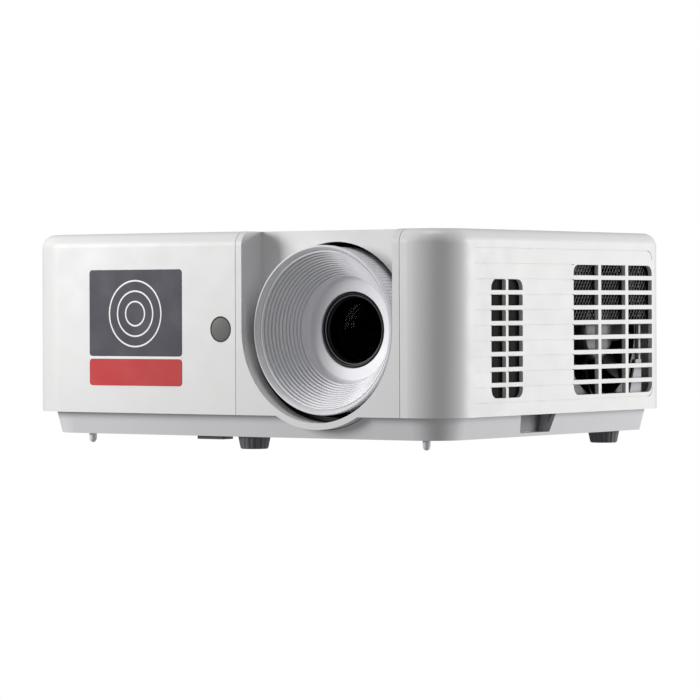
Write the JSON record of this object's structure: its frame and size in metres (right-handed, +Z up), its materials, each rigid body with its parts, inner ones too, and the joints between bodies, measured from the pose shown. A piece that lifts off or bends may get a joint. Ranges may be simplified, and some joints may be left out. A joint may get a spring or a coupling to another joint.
{
  "type": "laser projector",
  "caption": "Compact white laser projector with a deep ribbed focus ring in an open bay, vented side walls, rear connector panel, top keypad and screw-in feet.",
  "frame": {"origin": "centre of the footprint, on the surface that the feet stand on", "axes": "+X right when facing the lens, +Y to the back, +Z up"},
  "size_m": [0.3, 0.2313, 0.1241],
  "materials": {
    "cover_white": "fine satin texture",
    "ring_white": "fine satin texture",
    "base_grey": "fine satin texture",
    "panel_grey": "fine texture",
    "window_smoke": "polished",
    "label_print": "printed film",
    "lens_black": "satin black",
    "coated_glass": "coated and polished",
    "optical_glass": "polished",
    "cast_metal": "as cast",
    "fin_metal": "plain",
    "phosphor": "polished with a phosphor band",
    "copper": "copper, drawn",
    "fan_black": "moulded",
    "bracket_grey": "moulded",
    "mesh_black": "black coated wire",
    "circuit_green": "solder mask",
    "port_steel": "plated",
    "port_blue": "moulded",
    "port_black": "moulded",
    "power_mixed": "taped windings",
    "bezel_grey": "fine texture",
    "light_clear": "moulded clear",
    "key_grey": "satin",
    "foot_rubber": "moulded",
    "steel": "zinc plated",
    "brass": "knurled insert"
  },
  "bodies": {
    "root": {"top_cover": "cover_white", "lens_bay": "cover_white", "bottom_case": "base_grey", "io_panel": "panel_grey", "ir_window": "window_smoke", "front_label": "label_print", "lens_barrel": "lens_black", "engine_housing": "cast_metal", "engine_lid": "cast_metal", "prism": "optical_glass", "dmd_board": "circuit_green", "dmd_heatsink": "fin_metal", "wheel_housing": "cast_metal", "wheel_motor": "cast_metal", "laser_module": "cast_metal", "laser_heatsink": "fin_metal", "heat_pipes": "copper", "intake_fan_frame": "fan_black", "exhaust_fan_frame": "fan_black", "fan_bracket": "bracket_grey", "vent_meshes": "mesh_black", "main_board": "circuit_green", "hdmi_ports": "port_steel", "lan_port": "port_steel", "usb_port": "port_steel", "dsub_ports": "port_blue", "audio_jacks": "port_black", "ac_inlet": "port_black", "power_board": "circuit_green", "power_parts": "power_mixed", "speaker": "fan_black", "keypad_bezel": "bezel_grey", "keypad_board": "circuit_green", "status_lights": "light_clear", "front_pad": "foot_rubber", "mount_inserts": "brass", "cover_screws": "steel"},
    "focus_ring": {"focus_ring": "ring_white"},
    "focus_group": {"focus_cell": "lens_black", "front_lens": "coated_glass"},
    "zoom_ring": {"zoom_ring": "ring_white"},
    "zoom_group": {"zoom_cell": "lens_black", "zoom_lens": "coated_glass"},
    "intake_rotor": {"intake_rotor": "fan_black"},
    "exhaust_rotor": {"exhaust_rotor": "fan_black"},
    "phosphor_wheel": {"phosphor_wheel": "phosphor"},
    "front_foot_lift": {"front_foot_clip": "steel"},
    "front_foot": {"front_foot": "foot_rubber"},
    "rear_left_lift": {"rear_left_clip": "steel"},
    "rear_left_foot": {"rear_left_foot": "foot_rubber"},
    "rear_right_lift": {"rear_right_clip": "steel"},
    "rear_right_foot": {"rear_right_foot": "foot_rubber"},
    "key_power": {"key_power": "key_grey"},
    "key_menu": {"key_menu": "key_grey"},
    "key_source": {"key_source": "key_grey"},
    "key_up": {"key_up": "key_grey"},
    "key_down": {"key_down": "key_grey"},
    "key_left": {"key_left": "key_grey"},
    "key_right": {"key_right": "key_grey"},
    "key_enter": {"key_enter": "key_grey"}
  },
  "joints": [
    {"name": "focus_turn", "type": "hinge", "parent": "root", "child": "focus_ring", "pos_m": [0.0625, -0.075, 0.0676], "axis": [0, 1, 0], "range_deg": [-50, 50]},
    {"name": "focus_travel", "type": "slide", "parent": "root", "child": "focus_group", "axis": [0, -1, 0], "range_m": [-0.0015, 0.0015]},
    {"name": "zoom_turn", "type": "hinge", "parent": "root", "child": "zoom_ring", "pos_m": [0.0625, -0.075, 0.0676], "axis": [0, 1, 0], "range_deg": [-12, 12]},
    {"name": "zoom_travel", "type": "slide", "parent": "root", "child": "zoom_group", "axis": [0, -1, 0], "range_m": [-0.0012, 0.0012]},
    {"name": "intake_spin", "type": "hinge", "parent": "root", "child": "intake_rotor", "pos_m": [-0.13, -0.056, 0.066], "axis": [1, 0, 0], "continuous": true},
    {"name": "exhaust_spin", "type": "hinge", "parent": "root", "child": "exhaust_rotor", "pos_m": [0.13, 0.054, 0.066], "axis": [1, 0, 0], "continuous": true},
    {"name": "wheel_spin", "type": "hinge", "parent": "root", "child": "phosphor_wheel", "pos_m": [0.004, 0.002, 0.056], "axis": [1, 0, 0], "continuous": true},
    {"name": "front_foot_lift", "type": "slide", "parent": "root", "child": "front_foot_lift", "axis": [0, 0, -1], "range_m": [0, 0.01]},
    {"name": "front_foot_turn", "type": "hinge", "parent": "front_foot_lift", "child": "front_foot", "pos_m": [0.005, -0.096, 0], "axis": [0, 0, -1], "range_deg": [0, 1440]},
    {"name": "rear_left_lift", "type": "slide", "parent": "root", "child": "rear_left_lift", "axis": [0, 0, -1], "range_m": [0, 0.004]},
    {"name": "rear_left_turn", "type": "hinge", "parent": "rear_left_lift", "child": "rear_left_foot", "pos_m": [-0.126, 0.082, 0], "axis": [0, 0, -1], "range_deg": [0, 576]},
    {"name": "rear_right_lift", "type": "slide", "parent": "root", "child": "rear_right_lift", "axis": [0, 0, -1], "range_m": [0, 0.004]},
    {"name": "rear_right_turn", "type": "hinge", "parent": "rear_right_lift", "child": "rear_right_foot", "pos_m": [0.129, 0.082, 0], "axis": [0, 0, -1], "range_deg": [0, 576]},
    {"name": "press_power", "type": "slide", "parent": "root", "child": "key_power", "axis": [0, 0, -1], "range_m": [0, 0.0008], "stiffness_N_per_m": 800, "springref_m": -0.0003},
    {"name": "press_menu", "type": "slide", "parent": "root", "child": "key_menu", "axis": [0, 0, -1], "range_m": [0, 0.0008], "stiffness_N_per_m": 800, "springref_m": -0.0003},
    {"name": "press_source", "type": "slide", "parent": "root", "child": "key_source", "axis": [0, 0, -1], "range_m": [0, 0.0008], "stiffness_N_per_m": 800, "springref_m": -0.0003},
    {"name": "press_up", "type": "slide", "parent": "root", "child": "key_up", "axis": [0, 0, -1], "range_m": [0, 0.0008], "stiffness_N_per_m": 800, "springref_m": -0.0003},
    {"name": "press_down", "type": "slide", "parent": "root", "child": "key_down", "axis": [0, 0, -1], "range_m": [0, 0.0008], "stiffness_N_per_m": 800, "springref_m": -0.0003},
    {"name": "press_left", "type": "slide", "parent": "root", "child": "key_left", "axis": [0, 0, -1], "range_m": [0, 0.0008], "stiffness_N_per_m": 800, "springref_m": -0.0003},
    {"name": "press_right", "type": "slide", "parent": "root", "child": "key_right", "axis": [0, 0, -1], "range_m": [0, 0.0008], "stiffness_N_per_m": 800, "springref_m": -0.0003},
    {"name": "press_enter", "type": "slide", "parent": "root", "child": "key_enter", "axis": [0, 0, -1], "range_m": [0, 0.0008], "stiffness_N_per_m": 800, "springref_m": -0.0003}
  ],
  "couplings": [
    {"joint": "focus_travel", "follows": "focus_turn", "m_per_rad": 0.0017},
    {"joint": "zoom_travel", "follows": "zoom_turn", "m_per_rad": 0.0057},
    {"joint": "front_foot_turn", "follows": "front_foot_lift", "rad_per_m": 2513.2},
    {"joint": "rear_left_turn", "follows": "rear_left_lift", "rad_per_m": 2513.2},
    {"joint": "rear_right_turn", "follows": "rear_right_lift", "rad_per_m": 2513.2}
  ]
}
